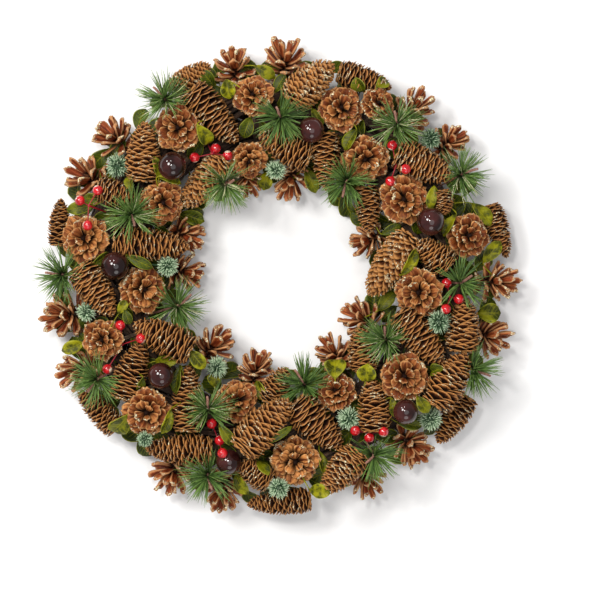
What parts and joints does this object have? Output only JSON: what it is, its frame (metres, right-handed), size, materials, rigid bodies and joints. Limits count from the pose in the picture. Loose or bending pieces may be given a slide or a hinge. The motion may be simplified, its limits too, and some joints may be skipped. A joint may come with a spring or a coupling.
{
  "type": "pine cone wreath",
  "caption": "Round wreath of pine cones, pine sprays, leaves, berries and glossy balls fixed round a vine ring, to hang on a door or lay on a table.",
  "frame": {"origin": "the middle of the wreath, in the plane of its flat back", "axes": "+Z out of the wreath's face, +Y towards its top as it hangs, +X to the right as it is looked at"},
  "size_m": [0.4717, 0.4628, 0.1047],
  "materials": {
    "vine": "rough bark",
    "cone_brown": "dry, matt, lighter at the rims of the scales",
    "spray_green": "matt needles",
    "tuft_sage": "matt, pale at the tips",
    "ball_plum": "high gloss",
    "berry_red": "gloss"
  },
  "bodies": {
    "root": {"ball_1": "ball_plum", "ball_2": "ball_plum", "ball_3": "ball_plum", "ball_4": "ball_plum", "ball_5": "ball_plum", "ball_6": "ball_plum", "ball_7": "ball_plum", "berries_1": "berry_red", "berries_2": "berry_red", "berries_3": "berry_red", "berries_4": "berry_red", "berries_5": "berry_red", "berries_6": "berry_red", "berries_7": "berry_red", "cones_01": "cone_brown", "cones_02": "cone_brown", "cones_03": "cone_brown", "cones_04": "cone_brown", "cones_05": "cone_brown", "cones_06": "cone_brown", "cones_07": "cone_brown", "cones_08": "cone_brown", "cones_09": "cone_brown", "cones_10": "cone_brown", "cones_11": "cone_brown", "cones_12": "cone_brown", "cones_13": "cone_brown", "cones_14": "cone_brown", "cones_15": "cone_brown", "cones_16": "cone_brown", "spray_01": "spray_green", "spray_02": "spray_green", "spray_03": "spray_green", "spray_04": "spray_green", "spray_05": "spray_green", "spray_06": "spray_green", "spray_07": "spray_green", "spray_08": "spray_green", "spray_09": "spray_green", "spray_10": "spray_green", "spray_11": "spray_green", "spray_12": "spray_green", "spray_13": "spray_green", "spray_14": "spray_green", "spray_15": "spray_green", "spray_16": "spray_green", "spray_17": "spray_green", "tuft_01": "tuft_sage", "tuft_02": "tuft_sage", "tuft_03": "tuft_sage", "tuft_04": "tuft_sage", "tuft_05": "tuft_sage", "tuft_06": "tuft_sage", "tuft_07": "tuft_sage", "tuft_08": "tuft_sage", "tuft_09": "tuft_sage", "tuft_10": "tuft_sage", "tuft_11": "tuft_sage", "vine_ring": "vine"}
  },
  "joints": []
}
